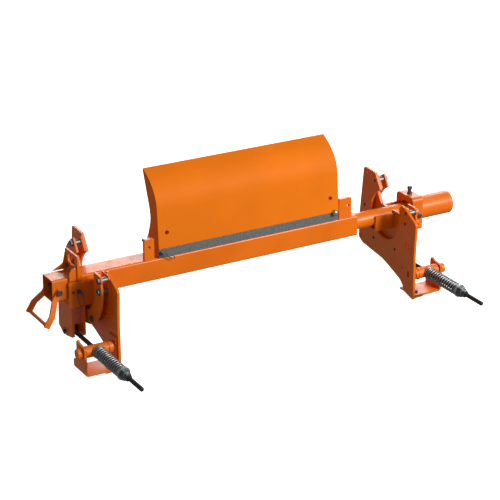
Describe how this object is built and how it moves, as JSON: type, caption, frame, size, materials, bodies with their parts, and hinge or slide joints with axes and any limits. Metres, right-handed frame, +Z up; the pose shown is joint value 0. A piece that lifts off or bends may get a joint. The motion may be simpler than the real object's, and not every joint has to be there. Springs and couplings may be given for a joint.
{
  "type": "conveyor belt scraper",
  "caption": "Conveyor belt scraper: curved blade on a square tube that turns in two ring stations, pulled onto the belt by spring tensioners.",
  "frame": {"origin": "pivot axis of the tube at the middle of the belt", "axes": "+X along the tube away from the handle, -Y towards the springs, +Z up"},
  "size_m": [2.1231, 0.8498, 0.77],
  "materials": {
    "frame_paint": "semi-gloss orange enamel",
    "blade_urethane": "satin moulded urethane",
    "strip_steel": "grey rolled steel",
    "spring_steel": "dark oiled spring steel",
    "rod_black": "black oxide",
    "zinc_plate": "zinc plate",
    "dark_fasteners": "blue-black fasteners"
  },
  "bodies": {
    "mount_frame": {"left_mounting_plate": "frame_paint", "left_guide_ring": "frame_paint", "left_retaining_ring": "frame_paint", "left_ring_spacers": "zinc_plate", "left_ring_bolts": "dark_fasteners", "left_spring_bracket": "frame_paint", "right_mounting_plate": "frame_paint", "right_guide_ring": "frame_paint", "right_retaining_ring": "frame_paint", "right_ring_spacers": "zinc_plate", "right_ring_bolts": "dark_fasteners", "right_spring_bracket": "frame_paint", "bracket_bolts": "dark_fasteners"},
    "mainframe": {"blade_holder": "frame_paint", "end_pipe": "frame_paint", "handle_bolts": "dark_fasteners", "holder_end_tabs": "frame_paint", "jack_bolt": "dark_fasteners", "jack_nut": "dark_fasteners", "left_cradle": "frame_paint", "left_hub_disc": "frame_paint", "left_lever_plates": "frame_paint", "left_yoke": "frame_paint", "lever_pins": "dark_fasteners", "lever_split_pins": "dark_fasteners", "main_tube": "frame_paint", "mandrel_rings": "frame_paint", "mandrel_tube": "frame_paint", "retainer_strip": "strip_steel", "right_cradle": "frame_paint", "right_hub_disc": "frame_paint", "right_lever_plates": "frame_paint", "right_saddle": "frame_paint", "right_stop_channel": "frame_paint", "saddle_bolts": "dark_fasteners", "scraper_blade": "blade_urethane", "strip_stud": "zinc_plate", "tab_bolts": "dark_fasteners", "yoke_bolts": "dark_fasteners"},
    "handle": {"bail_handle": "frame_paint"},
    "lock_pin": {"lock_pin": "dark_fasteners", "lock_pin_clip": "dark_fasteners"},
    "pull_pin": {"blade_pull_pin": "dark_fasteners", "blade_pin_hairpin": "dark_fasteners"},
    "left_trunnion": {"left_trunnion": "frame_paint", "left_seat_washer": "zinc_plate", "left_spring": "spring_steel"},
    "left_rod": {"left_tension_rod": "rod_black", "left_end_washer": "zinc_plate", "left_adjusting_nut": "dark_fasteners"},
    "left_lock_washer": {"left_lock_washer": "zinc_plate"},
    "left_lock_nut": {"left_lock_nut": "dark_fasteners"},
    "right_trunnion": {"right_trunnion": "frame_paint", "right_seat_washer": "zinc_plate", "right_spring": "spring_steel"},
    "right_rod": {"right_tension_rod": "rod_black", "right_end_washer": "zinc_plate", "right_adjusting_nut": "dark_fasteners"},
    "right_lock_washer": {"right_lock_washer": "zinc_plate"},
    "right_lock_nut": {"right_lock_nut": "dark_fasteners"}
  },
  "joints": [
    {"name": "mainframe_pivot", "type": "hinge", "parent": "mount_frame", "child": "mainframe", "pos_m": [0, 0, 0], "axis": [1, 0, 0], "range_deg": [0, 10], "stiffness_Nm_per_rad": 4500, "springref_deg": -2.86},
    {"name": "handle_swing", "type": "hinge", "parent": "mainframe", "child": "handle", "pos_m": [-0.932, 0, -0.005], "axis": [0, 1, 0], "range_deg": [-38, 90]},
    {"name": "lock_pin_pull", "type": "slide", "parent": "mainframe", "child": "lock_pin", "axis": [0, -1, 0], "range_m": [0, 0.05]},
    {"name": "blade_pin_pull", "type": "slide", "parent": "mainframe", "child": "pull_pin", "axis": [0, -1, 0], "range_m": [0, 0.055]},
    {"name": "left_trunnion_tilt", "type": "hinge", "parent": "mount_frame", "child": "left_trunnion", "pos_m": [-0.843, -0.212, -0.226], "axis": [1, 0, 0], "range_deg": [0, 1.6]},
    {"name": "left_rod_slide", "type": "slide", "parent": "left_trunnion", "child": "left_rod", "axis": [0, 1, 0], "range_m": [0, 0.0395], "deforming": ["left_spring"]},
    {"name": "left_lock_nut_run", "type": "slide", "parent": "left_rod", "child": "left_lock_washer", "axis": [0, -1, 0], "range_m": [0, 0.025]},
    {"name": "left_lock_nut_turn", "type": "hinge", "parent": "left_lock_washer", "child": "left_lock_nut", "pos_m": [-0.843, -0.5, -0.226], "axis": [0, -1, 0], "range_deg": [0, 3600]},
    {"name": "right_trunnion_tilt", "type": "hinge", "parent": "mount_frame", "child": "right_trunnion", "pos_m": [0.843, -0.212, -0.226], "axis": [1, 0, 0], "range_deg": [0, 1.6]},
    {"name": "right_rod_slide", "type": "slide", "parent": "right_trunnion", "child": "right_rod", "axis": [0, 1, 0], "range_m": [0, 0.0395], "deforming": ["right_spring"]},
    {"name": "right_lock_nut_run", "type": "slide", "parent": "right_rod", "child": "right_lock_washer", "axis": [0, -1, 0], "range_m": [0, 0.025]},
    {"name": "right_lock_nut_turn", "type": "hinge", "parent": "right_lock_washer", "child": "right_lock_nut", "pos_m": [0.843, -0.5, -0.226], "axis": [0, -1, 0], "range_deg": [0, 3600]}
  ],
  "couplings": [
    {"joint": "left_trunnion_tilt", "follows": "mainframe_pivot", "ratio": 0.15},
    {"joint": "left_rod_slide", "follows": "mainframe_pivot", "m_per_rad": 0.2233},
    {"joint": "left_lock_nut_turn", "follows": "left_lock_nut_run", "rad_per_m": 2513.3},
    {"joint": "right_trunnion_tilt", "follows": "mainframe_pivot", "ratio": 0.15},
    {"joint": "right_rod_slide", "follows": "mainframe_pivot", "m_per_rad": 0.2233},
    {"joint": "right_lock_nut_turn", "follows": "right_lock_nut_run", "rad_per_m": 2513.3}
  ]
}
